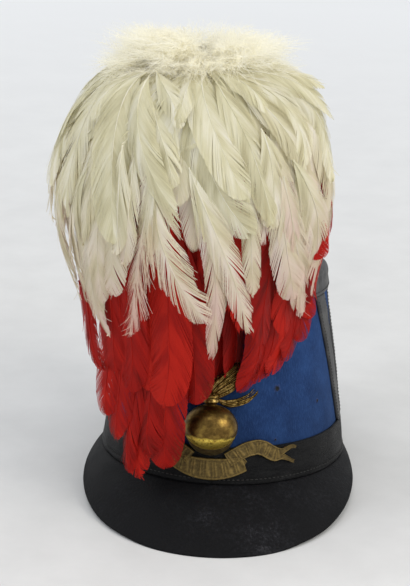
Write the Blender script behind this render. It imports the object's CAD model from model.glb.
import math

import bpy
import numpy as np
from mathutils import Matrix, Vector


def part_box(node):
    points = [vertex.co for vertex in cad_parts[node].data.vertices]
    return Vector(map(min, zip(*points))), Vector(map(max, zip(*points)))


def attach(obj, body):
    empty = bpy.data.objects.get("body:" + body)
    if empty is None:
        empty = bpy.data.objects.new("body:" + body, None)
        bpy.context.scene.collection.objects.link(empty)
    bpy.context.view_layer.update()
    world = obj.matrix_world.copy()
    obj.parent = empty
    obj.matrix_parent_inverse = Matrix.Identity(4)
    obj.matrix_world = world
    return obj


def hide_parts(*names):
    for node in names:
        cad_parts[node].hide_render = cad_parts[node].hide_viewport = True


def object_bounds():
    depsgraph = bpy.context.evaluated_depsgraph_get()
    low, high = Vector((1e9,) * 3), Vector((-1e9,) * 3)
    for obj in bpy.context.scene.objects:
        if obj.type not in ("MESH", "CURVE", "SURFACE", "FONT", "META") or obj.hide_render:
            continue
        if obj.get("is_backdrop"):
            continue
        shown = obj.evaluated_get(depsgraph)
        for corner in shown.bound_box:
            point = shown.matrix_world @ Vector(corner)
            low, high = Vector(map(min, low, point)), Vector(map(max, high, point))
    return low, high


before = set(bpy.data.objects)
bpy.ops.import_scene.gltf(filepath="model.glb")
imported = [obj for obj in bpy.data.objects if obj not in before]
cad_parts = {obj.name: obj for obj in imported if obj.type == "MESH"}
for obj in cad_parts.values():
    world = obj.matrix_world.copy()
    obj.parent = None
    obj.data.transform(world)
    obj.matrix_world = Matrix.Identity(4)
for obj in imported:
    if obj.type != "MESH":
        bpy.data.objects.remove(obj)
cad_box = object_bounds()

# Body
# A tapered oval tube of board, covered with blue woollen broadcloth that is glued on and felted, so the
# weave hardly shows. It has faded towards the edges and has three moth holes.

RIM_WIDTH = 163
RIM_LENGTH = 206
TOP_WIDTH = 128
TOP_LENGTH = 158
TOP_SHIFT = 4
BODY_HEIGHT = 126
WALL = 2.6
LEATHER = 2.1
GLUE = 0.3
PEAK_REACH = 42
PEAK_DROP = 36
PRESSED = 0.8
ARC_RADIUS = 90

# The hat leans back on its peak and the back of its rim.
back_of_rim = RIM_LENGTH / 2 + LEATHER
lean = math.atan2(PEAK_DROP, RIM_LENGTH + 2 * LEATHER + PEAK_REACH)
rim_low, rim_high = (1000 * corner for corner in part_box("rim_band"))
hat_x = (rim_low.x + rim_high.x) / 2
hat_y = rim_high.y - back_of_rim * math.cos(lean) - PRESSED * math.tan(lean)
hat_z = back_of_rim * math.sin(lean) - PRESSED


def in_row(x, y, z):
    """Points of the upright hat, in millimetres, where they lie as the hat rests."""
    x, y, z = np.broadcast_arrays(x, y, z)
    return np.stack([
        x + hat_x,
        y * math.cos(lean) + z * math.sin(lean) + hat_y,
        z * math.cos(lean) - y * math.sin(lean) + hat_z,
    ], axis=-1)


def body_oval(height):
    """Half the width, half the length and the forward shift of the body's oval at a height."""
    share = np.asarray(height, float) / BODY_HEIGHT
    half_width = (RIM_WIDTH + (TOP_WIDTH - RIM_WIDTH) * share) / 2
    half_length = (RIM_LENGTH + (TOP_LENGTH - RIM_LENGTH) * share) / 2
    return half_width, half_length, -TOP_SHIFT * share


def on_body(angle, height, out):
    """Points by degrees from the front towards the wearer's left, height above the rim and distance out."""
    turn = np.radians(angle)
    half_width, half_length, shift = body_oval(height)
    across = np.sin(turn) / half_width
    ahead = -np.cos(turn) / half_length
    size = np.hypot(across, ahead)
    x = half_width * np.sin(turn) + across / size * out
    y = -half_length * np.cos(turn) + shift + ahead / size * out
    return in_row(x, y, height)


def uneven(x, y, size, seed):
    """A smooth random swell between about -1 and 1, with bumps of roughly this size."""
    rng = np.random.default_rng(seed)
    total = 0
    for _ in range(7):
        heading = rng.uniform(0, 2 * math.pi)
        wave = 2 * math.pi / (size * rng.uniform(0.7, 1.7))
        total = total + np.sin(wave * (x * math.cos(heading) + y * math.sin(heading)) + rng.uniform(0, 7))
    return total / 3


def grid_faces(rows, columns, join_rows=False, join_columns=False, start=0):
    """Four-sided faces over a grid of points, row after row."""
    row = np.arange(rows if join_rows else rows - 1)[:, None]
    column = np.arange(columns if join_columns else columns - 1)[None, :]
    next_row = (row + 1) % rows
    next_column = (column + 1) % columns
    corners = [row * columns + column, row * columns + next_column,
               next_row * columns + next_column, next_row * columns + column]
    return np.stack(np.broadcast_arrays(*corners), axis=-1).reshape(-1, 4) + start


def make_mesh(name, points, faces, material, smooth=True, **notes):
    """One piece from points in millimetres. Notes are vectors kept at each point for the material."""
    mesh = bpy.data.meshes.new(name)
    flat = np.asarray(points, float).reshape(-1, 3)
    mesh.from_pydata((flat / 1000).tolist(), [], faces.tolist() if isinstance(faces, np.ndarray) else faces)
    for note, values in notes.items():
        layer = mesh.attributes.new(note, "FLOAT_VECTOR", "POINT")
        layer.data.foreach_set("vector", np.asarray(values, np.float32).reshape(-1))
    mesh.polygons.foreach_set("use_smooth", [smooth] * len(mesh.polygons))
    mesh.materials.append(material)
    mesh.update()
    made = bpy.data.objects.new(name, mesh)
    bpy.context.scene.collection.objects.link(made)
    return made


def wrap(name, profile, material, sides=240, swell=None):
    """A closed ring round the body from a profile of (out, height) points, which may swell unevenly."""
    out = np.array([p[0] for p in profile], float)[None, :]
    height = np.array([p[1] for p in profile], float)[None, :]
    angle = np.linspace(0, 360, sides, endpoint=False)[:, None]
    out, height, angle = np.broadcast_arrays(out, height, angle)
    arc = angle * math.pi / 180 * ARC_RADIUS
    if swell is not None:
        out = out + swell(arc, height, out)
    points = on_body(angle, height, out)
    points[..., 2] = np.maximum(points[..., 2], 0)
    faces = grid_faces(sides, len(profile), True, True)[:, ::-1]
    lie = np.stack(np.broadcast_arrays(arc, height, out), axis=-1)
    return make_mesh(name, points, faces, material, lie=lie)


def linear(colour):
    """Blender's linear colour from an sRGB hex value."""
    parts = [int(colour[i:i + 2], 16) / 255 for i in (1, 3, 5)]
    return tuple(p / 12.92 if p <= 0.04045 else ((p + 0.055) / 1.055) ** 2.4 for p in parts) + (1.0,)


def add_node(tree, kind, inputs=(), stops=(), **settings):
    """Adds a shader node with its settings and colour stops, and fills or links its inputs."""
    made = tree.nodes.new("ShaderNode" + kind)
    for name, value in settings.items():
        setattr(made, name, value)
    for name, value in dict(inputs).items():
        if isinstance(value, bpy.types.NodeSocket):
            tree.links.new(value, made.inputs[name])
        else:
            made.inputs[name].default_value = value
    for i, (place, colour) in enumerate(stops):
        if i >= len(made.color_ramp.elements):
            made.color_ramp.elements.new(1.0)
        made.color_ramp.elements[i].position = place
        made.color_ramp.elements[i].color = linear(colour)
    return made


def new_finish(name):
    """An empty material and its node tree."""
    material = bpy.data.materials.new(name)
    material.use_nodes = True
    material.node_tree.nodes.clear()
    return material, material.node_tree


# Woollen broadcloth: a raised nap scatters light and lifts the edges, and the dye has faded in patches.
# Mix nodes take colours at inputs 6 and 7 and give the result at output 2.
cloth, tree = new_finish("blue woollen broadcloth")
lie = add_node(tree, "Attribute", attribute_name="lie").outputs["Vector"]
nap_lie = add_node(tree, "VectorMath", {0: lie, 1: (1.0, 0.32, 1.0)}, operation="MULTIPLY").outputs[0]
# The nap's streaks are 1.1 mm wide here, coarser than wool fibres, so that they show.
nap = add_node(tree, "TexNoise", {"Vector": nap_lie, "Scale": 1 / 1.1, "Detail": 3.0, "Roughness": 0.7})
patches = add_node(tree, "TexNoise", {"Vector": lie, "Scale": 1 / 22, "Detail": 4.0, "Roughness": 0.55})
weave = add_node(tree, "TexNoise", {"Vector": lie, "Scale": 1 / 0.7, "Detail": 2.0})
dye = add_node(tree, "ValToRGB", {"Fac": patches.outputs["Fac"]},
               stops=[(0.34, "#1d3259"), (0.5, "#233c68"), (0.68, "#2a4777")])
fleck = add_node(tree, "ValToRGB", {"Fac": nap.outputs["Fac"]},
                 stops=[(0.3, "#162440"), (0.52, "#213762"), (0.74, "#3a5684")])
clean = add_node(tree, "Mix", {0: 0.38, 6: dye.outputs[0], 7: fleck.outputs[0]}, data_type="RGBA").outputs[2]
# Hands have soiled it over the lower 80 mm.
level = add_node(tree, "SeparateXYZ", {0: lie}).outputs[1]
soil = add_node(tree, "MapRange", {
    "Value": level, "From Min": 15.0, "From Max": 80.0, "To Min": 0.32, "To Max": 0.0,
}).outputs[0]
blue = add_node(tree, "Mix", {0: soil, 6: clean, 7: linear("#0d1626")}, data_type="RGBA").outputs[2]
bumps = add_node(tree, "Math", {0: nap.outputs["Fac"], 1: weave.outputs["Fac"]}, operation="ADD").outputs[0]
raised = add_node(tree, "Bump", {"Height": bumps, "Strength": 0.4, "Distance": 0.0004})
wool = add_node(tree, "BsdfPrincipled", {
    "Base Color": blue, "Roughness": 0.95, "Normal": raised.outputs[0],
    "Sheen Weight": 0.12, "Sheen Roughness": 0.5, "Sheen Tint": linear("#8fb0e0"), "Specular IOR Level": 0.06,
})
add_node(tree, "OutputMaterial", {"Surface": wool.outputs[0]})

outer = [(0.15, height) for height in np.linspace(0, BODY_HEIGHT, 64)]
inner = [(-WALL, height) for height in np.linspace(BODY_HEIGHT, 0, 12)]


def cloth_swell(arc, height, out):
    """Slight waves in the glued cloth, on its outside alone."""
    return np.where(out > 0, 0.12 * uneven(arc, height, 26, 3), 0)


body = wrap("body_cloth", outer + inner, cloth, 288, cloth_swell)
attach(body, "root")
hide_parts("body_shell")

# Moth holes
# Three places where moths have eaten through the nap: a torn pit with a halo of broken wool round it.
# Each is given by its angle, its height and the radius of the pit.

HOLES = [
    (31.0, 60.3, 1.4),
    (58.2, 46.0, 0.9),
    (29.6, 27.2, 0.6),
]
HALO = 1.9
HOLE_LIFTS = [0.35, 0.4, 0.62, 0.5, 0.1]

# Torn wool: black in the pit, and as blue as the cloth at the edge of the halo.
moth, tree = new_finish("moth hole in broadcloth")
lie = add_node(tree, "Attribute", attribute_name="lie").outputs["Vector"]
from_middle = add_node(tree, "SeparateXYZ", {0: lie}).outputs[0]
fade = add_node(tree, "ValToRGB", {"Fac": from_middle},
                stops=[(0.0, "#040507"), (0.42, "#070a12"), (0.62, "#16284c"), (1.0, "#22396a")])
pit = add_node(tree, "BsdfPrincipled", {"Base Color": fade.outputs[0], "Roughness": 0.95})
add_node(tree, "OutputMaterial", {"Surface": pit.outputs[0]})

rng = np.random.default_rng(11)
points, faces, shade = [], [], []
rings, sides = len(HOLE_LIFTS), 18
for angle, height, radius in HOLES:
    start = len(points)
    half_width = body_oval(height)[0]
    for r, lift in enumerate(HOLE_LIFTS):
        for k in range(sides):
            turn = 2 * math.pi * k / sides
            reach = radius * HALO * r / (rings - 1) * (1 + 0.16 * rng.normal() * (r > 1))
            points.append(on_body(angle + math.degrees(reach * math.cos(turn) / half_width),
                                  height + reach * math.sin(turn), lift))
            shade.append((r / (rings - 1), 0, 0))
    faces += grid_faces(rings, sides, False, True, start).tolist()
holes = make_mesh("moth_holes", points, faces, moth, lie=shade)
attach(holes, "root")

# Crown
# A dished disc of blackened leather that closes the top of the body. It is moulded wet, and its edge lies
# under the top band, which holds it.

CROWN_THICKNESS = 2.2
CROWN_DISH = 4
CROWN_INSET = 0.4

# Bridle leather, dyed black and waxed: a fine pebbled grain with soft gloss, greyed where it has rubbed.
leather, tree = new_finish("black bridle leather")
place = add_node(tree, "TexCoord").outputs["Object"]
# The pebbles of the grain are 1.1 mm across, its creases 9 mm apart, and it has rubbed in patches of 30 mm.
pebbles = add_node(tree, "TexVoronoi", {"Vector": place, "Scale": 1000 / 1.1, "Randomness": 1.0},
                   feature="SMOOTH_F1")
creases = add_node(tree, "TexNoise", {"Vector": place, "Scale": 1000 / 9, "Detail": 6.0, "Roughness": 0.7,
                                      "Distortion": 1.2})
rubs = add_node(tree, "TexNoise", {"Vector": place, "Scale": 1000 / 30, "Detail": 7.0, "Roughness": 0.75})
black = add_node(tree, "ValToRGB", {"Fac": rubs.outputs["Fac"]},
                 stops=[(0.35, "#0e0e10"), (0.55, "#17171a"), (0.72, "#2b2b2d")])
gloss = add_node(tree, "MapRange", {"Value": creases.outputs["Fac"], "From Min": 0.3, "From Max": 0.7,
                                    "To Min": 0.34, "To Max": 0.6}).outputs[0]
grain = add_node(tree, "Bump", {"Height": pebbles.outputs["Distance"], "Strength": 0.35, "Distance": 0.0002})
worn = add_node(tree, "Bump", {"Height": creases.outputs["Fac"], "Strength": 0.4, "Distance": 0.0007,
                               "Normal": grain.outputs[0]})
hide = add_node(tree, "BsdfPrincipled", {
    "Base Color": black.outputs[0], "Roughness": gloss, "Normal": worn.outputs[0], "Specular IOR Level": 0.3,
})
add_node(tree, "OutputMaterial", {"Surface": hide.outputs[0]})


def crown_height(share):
    """The crown's upper surface above the rim, by the share of the way from its middle to its edge."""
    return BODY_HEIGHT + GLUE + CROWN_THICKNESS - CROWN_DISH * (1 - share * share)


sides, rings = 120, 16
share = np.concatenate([np.linspace(0.02, 1, rings), np.linspace(1, 0.02, rings)])[:, None]
under = np.concatenate([np.zeros(rings), np.full(rings, CROWN_THICKNESS)])[:, None]
turn = np.linspace(0, 2 * math.pi, sides, endpoint=False)[None, :]
half_width, half_length, _ = body_oval(BODY_HEIGHT)
x = (half_width - CROWN_INSET) * share * np.sin(turn)
y = -(half_length - CROWN_INSET) * share * np.cos(turn) - TOP_SHIFT
z = crown_height(share) - under + 0.25 * uneven(x, y, 24, 5) * (1 - share)
faces = grid_faces(2 * rings, sides, True, True)
crown = make_mesh("crown_leather", in_row(x, y, z), faces, leather)
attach(crown, "root")
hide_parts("crown")

# Top band
# A strap of black leather round the top of the body, turned over the edge on to the crown and rolled
# there. It is glued and stitched, its ends overlap at the back, and its face has gone grey with rubbing.

TOP_BAND_HEIGHT = 12
TOP_LIP = 7
TOP_LIP_THICKNESS = 1.8
TOP_ROLL = 3.6

# Rubbed leather: the black has worn to grey on the raised grain, so it takes a broad dull gleam.
grey_leather, tree = new_finish("rubbed black leather")
lie = add_node(tree, "Attribute", attribute_name="lie").outputs["Vector"]
# Grain pebbles are 1.3 mm across, creases 7 mm apart, and the rubbed patches 18 mm wide.
creases = add_node(tree, "TexNoise", {"Vector": lie, "Scale": 1 / 7, "Detail": 6.0, "Roughness": 0.7,
                                      "Distortion": 1.5})
pebbles = add_node(tree, "TexVoronoi", {"Vector": lie, "Scale": 1 / 1.3}, feature="SMOOTH_F1")
rubs = add_node(tree, "TexNoise", {"Vector": lie, "Scale": 1 / 18, "Detail": 8.0, "Roughness": 0.7})
grey = add_node(tree, "ValToRGB", {"Fac": rubs.outputs["Fac"]},
                stops=[(0.3, "#1b1b1c"), (0.5, "#323233"), (0.7, "#4f4e4c")])
grain = add_node(tree, "Bump", {"Height": pebbles.outputs["Distance"], "Strength": 0.4, "Distance": 0.0002})
worn = add_node(tree, "Bump", {"Height": creases.outputs["Fac"], "Strength": 0.6, "Distance": 0.001,
                               "Normal": grain.outputs[0]})
hide = add_node(tree, "BsdfPrincipled", {
    "Base Color": grey.outputs[0], "Roughness": 0.5, "Normal": worn.outputs[0], "Specular IOR Level": 0.35,
})
add_node(tree, "OutputMaterial", {"Surface": hide.outputs[0]})

band_low = BODY_HEIGHT - TOP_BAND_HEIGHT
lip_top = BODY_HEIGHT + 2 * GLUE + CROWN_THICKNESS + TOP_LIP_THICKNESS
profile = [(GLUE, band_low + 0.2), (1.5, band_low), (LEATHER, band_low + 0.7)]
profile += [(LEATHER, height) for height in np.linspace(band_low + 2, lip_top - TOP_ROLL - 1, 14)]
profile += [(LEATHER - TOP_ROLL + TOP_ROLL * math.cos(t) + 0.3 * math.sin(2 * t),
             lip_top - TOP_ROLL + TOP_ROLL * math.sin(t)) for t in np.linspace(0, math.pi / 2, 8)]
profile += [(-TOP_LIP + 1, lip_top), (-TOP_LIP, lip_top - 0.6), (-TOP_LIP, lip_top - 1.7)]
profile += [(GLUE, lip_top - TOP_LIP_THICKNESS)]


def top_band_swell(arc, height, out):
    """Broad waves and small dents in the band's face."""
    waves = 0.3 * uneven(arc, height, 30, 8)
    return np.where(out > 1, waves + 0.22 * uneven(arc, height * 2.2, 11, 9) - 0.1, 0)


top_band = wrap("top_band_leather", profile, grey_leather, 288, top_band_swell)
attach(top_band, "root")
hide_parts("top_band")

# Rim band
# A strap of black leather round the foot of the body, stitched through along its lower edge. It has
# creased and gone dull, and its ends overlap at the back.

RIM_BAND_HEIGHT = 24
RIM_SEAM = 3.2

# Sweat-stained leather: darker and duller than the top band, with long creases round the hat.
rim_leather, tree = new_finish("creased black leather")
lie = add_node(tree, "Attribute", attribute_name="lie").outputs["Vector"]
# Creases are 4 mm apart, grain pebbles 1.2 mm across, and the rubbed patches 12 mm high.
long_lie = add_node(tree, "VectorMath", {0: lie, 1: (0.35, 1.0, 1.0)}, operation="MULTIPLY").outputs[0]
creases = add_node(tree, "TexNoise", {"Vector": long_lie, "Scale": 1 / 4, "Detail": 6.0, "Roughness": 0.75,
                                      "Distortion": 1.2})
pebbles = add_node(tree, "TexVoronoi", {"Vector": lie, "Scale": 1 / 1.2}, feature="SMOOTH_F1")
rubs = add_node(tree, "TexNoise", {"Vector": long_lie, "Scale": 1 / 12, "Detail": 8.0, "Roughness": 0.8})
black = add_node(tree, "ValToRGB", {"Fac": rubs.outputs["Fac"]},
                 stops=[(0.34, "#0a0a0b"), (0.55, "#101011"), (0.7, "#2a2a2a")])
grain = add_node(tree, "Bump", {"Height": pebbles.outputs["Distance"], "Strength": 0.5, "Distance": 0.0003})
worn = add_node(tree, "Bump", {"Height": creases.outputs["Fac"], "Strength": 0.9, "Distance": 0.0018,
                               "Normal": grain.outputs[0]})
hide = add_node(tree, "BsdfPrincipled", {
    "Base Color": black.outputs[0], "Roughness": 0.5, "Normal": worn.outputs[0], "Specular IOR Level": 0.12,
})
add_node(tree, "OutputMaterial", {"Surface": hide.outputs[0]})

profile = [(GLUE, 0), (GLUE, RIM_BAND_HEIGHT - 0.2), (1.4, RIM_BAND_HEIGHT)]
profile += [(LEATHER, RIM_BAND_HEIGHT - 0.6)]
profile += [(LEATHER, height) for height in np.linspace(RIM_BAND_HEIGHT - 1.6, 0.8, 16)]
profile += [(1.7, 0)]


def rim_band_swell(arc, height, out):
    """Long dents in the band's face, and the groove that its seam is pulled into."""
    dents = 0.25 * uneven(arc * 0.6, height * 1.4, 16, 14)
    groove = 0.32 * np.exp(-((height - RIM_SEAM) / 1.1) ** 2)
    return np.where(out > 1, dents - groove, 0)


rim_band = wrap("rim_band_leather", profile[::-1], rim_leather, 288, rim_band_swell)
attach(rim_band, "root")
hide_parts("rim_band")

# Band stitches
# Seams of waxed linen thread through the rim band and the top band, sewn by hand with short even stitches.

RIM_STITCH_STEP = 2.1
TOP_STITCH_STEP = 2.6
TOP_SEAM = 2.6


def stitches(places, length=2.0, thick=0.35):
    """Short stitches, each a closed spindle of thread between two points."""
    points, faces = [], []
    for start, end in places:
        along = (end - start) / np.linalg.norm(end - start)
        side = np.cross(along, (0.3, 0.5, 0.9))
        side /= np.linalg.norm(side)
        up = np.cross(side, along)
        first = len(points)
        for share, fat in ((0, 0.25), (0.2, 0.9), (0.5, 1.0), (0.8, 0.9), (1, 0.25)):
            for k in range(6):
                turn = math.pi / 3 * k
                reach = thick * fat
                points.append(start + along * share * length + side * reach * math.cos(turn)
                              + up * reach * math.sin(turn))
        faces += grid_faces(5, 6, False, True, first).tolist()
        faces += [[first + k for k in range(6)][::-1], [first + 24 + k for k in range(6)]]
    return points, faces


# Waxed linen thread, dull and dark, a little lighter than the leather. Its twist repeats every 0.5 mm.
thread, tree = new_finish("waxed linen thread")
place = add_node(tree, "TexCoord").outputs["Object"]
twist = add_node(tree, "TexNoise", {"Vector": place, "Scale": 1000 / 0.5, "Detail": 2.0})
dark = add_node(tree, "ValToRGB", {"Fac": twist.outputs["Fac"]}, stops=[(0.3, "#131312"), (0.7, "#2b2a27")])
waxed = add_node(tree, "BsdfPrincipled", {"Base Color": dark.outputs[0], "Roughness": 0.7})
add_node(tree, "OutputMaterial", {"Surface": waxed.outputs[0]})

places = []
for angle in np.arange(0, 360, RIM_STITCH_STEP):
    places.append((on_body(angle, RIM_SEAM, 1.95), on_body(angle + 1.3, RIM_SEAM, 1.95)))
for angle in np.arange(0, 360, TOP_STITCH_STEP):
    height = band_low + TOP_SEAM
    places.append((on_body(angle, height, 2.2), on_body(angle + 1.6, height, 2.2)))
points, faces = stitches(places)
band_stitches = make_mesh("band_stitches", points, faces, thread)
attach(band_stitches, "root")

# Chevrons
# Two straps of black leather on each side make a V from the rim band to the top band. They are stitched
# down near both edges, and stand a little proud of the cloth.

CHEVRON_STRIP = 17
CHEVRON_SPREAD = 76
# Over a strap's section: the share of half its width, and the distance out from the body.
STRAP_SECTION = [
    (-1, GLUE),
    (-0.99, 1.2),
    (-0.93, 1.9),
    (-0.75, 2.15),
    (-0.35, 2.1),
    (0, 2.1),
    (0.35, 2.1),
    (0.75, 2.15),
    (0.93, 1.9),
    (0.99, 1.2),
    (1, GLUE),
    (0.9, GLUE),
    (0, GLUE),
    (-0.9, GLUE),
]
BACK_MIDDLE = 12


def chevron_strap(side, direction):
    """Points of one strap with its edges rounded, and where they lie on the leather."""
    rows = 40
    height = np.linspace(RIM_BAND_HEIGHT + GLUE, band_low - GLUE, rows)[:, None]
    share = np.linspace(0, 1, rows)[:, None]
    middle = (CHEVRON_STRIP / 2 - 1) * (1 - share) + (CHEVRON_SPREAD - CHEVRON_STRIP) / 2 * share
    across = np.array([place for place, _ in STRAP_SECTION])[None, :] / 2
    out = np.array([lift for _, lift in STRAP_SECTION])[None, :]
    arc = direction * middle + CHEVRON_STRIP * across
    out = out + np.where(out > 1, 0.16 * uneven(arc + 200 * side, height, 14, 21), 0)
    angle = side * (90 + np.degrees(arc / body_oval(height)[1]))
    lie = np.stack(np.broadcast_arrays(arc + 100 * side, height, out), axis=-1)
    return on_body(angle, height, out), lie


for node, side in (("chevron_left", 1), ("chevron_right", -1)):
    points, lies, faces, places = [], [], [], []
    for direction in (-1, 1):
        strap, lie = chevron_strap(side, direction)
        rows, columns = strap.shape[:2]
        start = len(points)
        ring = grid_faces(rows, columns, False, True, start)
        faces += (ring[:, ::-1] if side > 0 else ring).tolist()
        faces.append([start + k for k in range(columns)])
        faces.append([start + (rows - 1) * columns + k for k in range(columns)][::-1])
        points += list(strap.reshape(-1, 3))
        lies += list(lie.reshape(-1, 3))
        for edge in (3, 7):
            proud = strap[:, edge] + (strap[:, edge] - strap[:, BACK_MIDDLE]) * 0.05
            places += [(proud[i], proud[i + 1]) for i in range(1, rows - 2)]
    chevron = make_mesh(node + "_leather", points, faces, grey_leather, lie=lies)
    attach(chevron, "root")
    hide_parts(node)
    points, faces = stitches(places, 1.4, 0.25)
    seam = make_mesh(node + "_stitches", points, faces, thread)
    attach(seam, "root")

# Peak
# One sheet of thick black leather, wet-moulded to a slope and sewn under the front of the rim. Its edge is
# bare and rounded by wear, and its grain has opened and greyed in patches near the front.

PEAK_ANGLE = 102
PEAK_THICKNESS = 2.3
PEAK_CROWN = 3.5
PEAK_EXPONENT = 1.8
PEAK_UNDER = 2.6

# Moulded harness leather: almost black, matte, with a coarse pebbled grain and pale scuffs.
peak_leather, tree = new_finish("moulded harness leather")
place = add_node(tree, "TexCoord").outputs["Object"]
# Grain pebbles are 1.4 mm across, specks of wear 2.2 mm, and the scuffed patches 45 mm.
pebbles = add_node(tree, "TexVoronoi", {"Vector": place, "Scale": 1000 / 1.4, "Randomness": 1.0},
                   feature="SMOOTH_F1")
broad = add_node(tree, "TexNoise", {"Vector": place, "Scale": 1000 / 45, "Detail": 3.0, "Roughness": 0.6})
specks = add_node(tree, "TexNoise", {"Vector": place, "Scale": 1000 / 2.2, "Detail": 5.0, "Roughness": 0.8})
scuff = add_node(tree, "Math", {0: broad.outputs["Fac"], 1: specks.outputs["Fac"]}, operation="MULTIPLY")
black = add_node(tree, "ValToRGB", {"Fac": scuff.outputs[0]},
                 stops=[(0.2, "#0b0b0d"), (0.28, "#101012"), (0.36, "#1c1c1f"), (0.46, "#3c3c3f")])
gloss = add_node(tree, "MapRange", {"Value": broad.outputs["Fac"], "From Min": 0.35, "From Max": 0.65,
                                    "To Min": 0.5, "To Max": 0.68}).outputs[0]
grain = add_node(tree, "Bump", {"Height": pebbles.outputs["Distance"], "Strength": 0.55, "Distance": 0.00035})
worn = add_node(tree, "Bump", {"Height": specks.outputs["Fac"], "Strength": 0.5, "Distance": 0.0006,
                               "Normal": grain.outputs[0]})
hide = add_node(tree, "BsdfPrincipled", {
    "Base Color": black.outputs[0], "Roughness": gloss, "Normal": worn.outputs[0], "Specular IOR Level": 0.1,
})
add_node(tree, "OutputMaterial", {"Surface": hide.outputs[0]})

columns = 160
angle = PEAK_ANGLE * np.linspace(-1, 1, columns)[:, None]
full = np.cos(math.pi / 2 * angle / (PEAK_ANGLE + 3)) ** PEAK_EXPONENT
slope = np.concatenate([[0.0], np.linspace(0, 0.97, 26)])[None, :]
edge = np.linspace(-math.pi / 2, math.pi / 2, 7)[None, ::-1]
half = PEAK_THICKNESS / 2


def peak_height(share):
    """The upper surface's height below the rim, by the share of the way down the slope."""
    return -GLUE + full * (PEAK_CROWN * np.sin(math.pi * share) - (PEAK_DROP - PEAK_THICKNESS) * share)


dent = 0.35 * uneven(angle * 1.5, slope * 40, 30, 31) * np.minimum(1, slope * 6) * full
top_out = LEATHER + PEAK_REACH * full * slope
top_out[:, 0] = -PEAK_UNDER
top_height = peak_height(slope) + dent
top_height[:, 0] = -GLUE
edge_out = LEATHER + PEAK_REACH * full * 0.98 + half * np.cos(edge) * np.minimum(1, full * 4)
edge_height = peak_height(0.99) - half + half * np.sin(edge) + dent[:, -1:]
out = np.concatenate([top_out, edge_out[:, 1:-1], top_out[:, ::-1]], axis=1)
height = np.concatenate([top_height, edge_height[:, 1:-1], top_height[:, ::-1] - PEAK_THICKNESS], axis=1)
points = on_body(np.broadcast_to(angle, out.shape), 0, out)
points[..., 1] += height * math.sin(lean)
points[..., 2] = np.maximum(points[..., 2] + height * math.cos(lean), 0)
rows = out.shape[1]
faces = grid_faces(columns, rows, False, True).tolist()
faces += [list(range(rows))[::-1], [(columns - 1) * rows + k for k in range(rows)]]
peak = make_mesh("peak_leather", points, faces, peak_leather)
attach(peak, "root")
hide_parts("peak")

# Badge ball
# Two stamped brass halves brazed into a hollow ball. The upper part has tarnished to dark brown, and the
# lower part is still bright, with dark specks at the edge.

BADGE_SHIFT = 3
BALL_DIAMETER = 35
BALL_RISE = 29.5
BALL_DEPTH = 27
BALL_HEIGHT = 40.2
BALL_BACK = 3
BALL_SEAM = -21

# Stamped brass: a soft mirror where it is bright, and a thin brown oxide skin elsewhere.
ball_brass, tree = new_finish("tarnished stamped brass")
lie = add_node(tree, "Attribute", attribute_name="lie").outputs["Vector"]
level = add_node(tree, "SeparateXYZ", {0: lie}).outputs[2]
place = add_node(tree, "TexCoord").outputs["Object"]
# The edge of the tarnish wanders by about 3 mm, and its specks are about 1 mm across.
wander = add_node(tree, "TexNoise", {"Vector": place, "Scale": 1000 / 5, "Detail": 4.0, "Roughness": 0.65})
specks = add_node(tree, "TexNoise", {"Vector": place, "Scale": 1000 / 1.6, "Detail": 5.0, "Roughness": 0.7})
shifted = add_node(tree, "Math", {0: wander.outputs["Fac"], 1: 5.0, 2: -2.5},
                   operation="MULTIPLY_ADD").outputs[0]
above = add_node(tree, "Math", {0: level, 1: shifted}, operation="ADD").outputs[0]
skin = add_node(tree, "MapRange", {"Value": above, "From Min": -5.6, "From Max": -4.0}).outputs[0]
spotted = add_node(tree, "MapRange", {
    "Value": specks.outputs["Fac"], "From Min": 0.56, "From Max": 0.64,
}).outputs[0]
dirt = add_node(tree, "Math", {0: skin, 1: spotted}, operation="MAXIMUM").outputs[0]
mottle = add_node(tree, "ValToRGB", {"Fac": wander.outputs["Fac"]},
                  stops=[(0.3, "#47371c"), (0.5, "#6a532b"), (0.7, "#957b3e")])
bright = add_node(tree, "ValToRGB", {"Fac": specks.outputs["Fac"]},
                  stops=[(0.35, "#f0d868"), (0.55, "#d8b850"), (0.7, "#9a7c34")])
brown = add_node(tree, "Mix", {0: dirt, 6: bright.outputs[0], 7: mottle.outputs[0]},
                 data_type="RGBA").outputs[2]
gloss = add_node(tree, "MapRange", {"Value": dirt, "To Min": 0.44, "To Max": 0.36}).outputs[0]
pits = add_node(tree, "Bump", {"Height": specks.outputs["Fac"], "Strength": 0.12, "Distance": 0.0003})
metal = add_node(tree, "BsdfPrincipled", {
    "Base Color": brown, "Metallic": 1.0, "Roughness": gloss, "Normal": pits.outputs[0],
})
add_node(tree, "OutputMaterial", {"Surface": metal.outputs[0]})


def ball_point(up, turn, grow):
    """Points of the ball: radians up from its equator and round from its front, and millimetres out."""
    _, half_length, shift = body_oval(BALL_HEIGHT)
    middle_y = -half_length + shift - BALL_BACK - BALL_DEPTH / 2 + BALL_DEPTH / 12
    x = (BALL_DIAMETER / 2 + grow) * np.cos(up) * np.sin(turn) - BADGE_SHIFT + 0.5
    y = middle_y - (BALL_DEPTH / 2 + grow) * np.cos(up) * np.cos(turn)
    z = BALL_HEIGHT + (BALL_RISE / 2 + grow) * np.sin(up)
    return x, y, z


rings, sides = 60, 72
up = np.radians(np.linspace(-88, 88, rings))[:, None]
turn = np.linspace(0, 2 * math.pi, sides, endpoint=False)[None, :]
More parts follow.
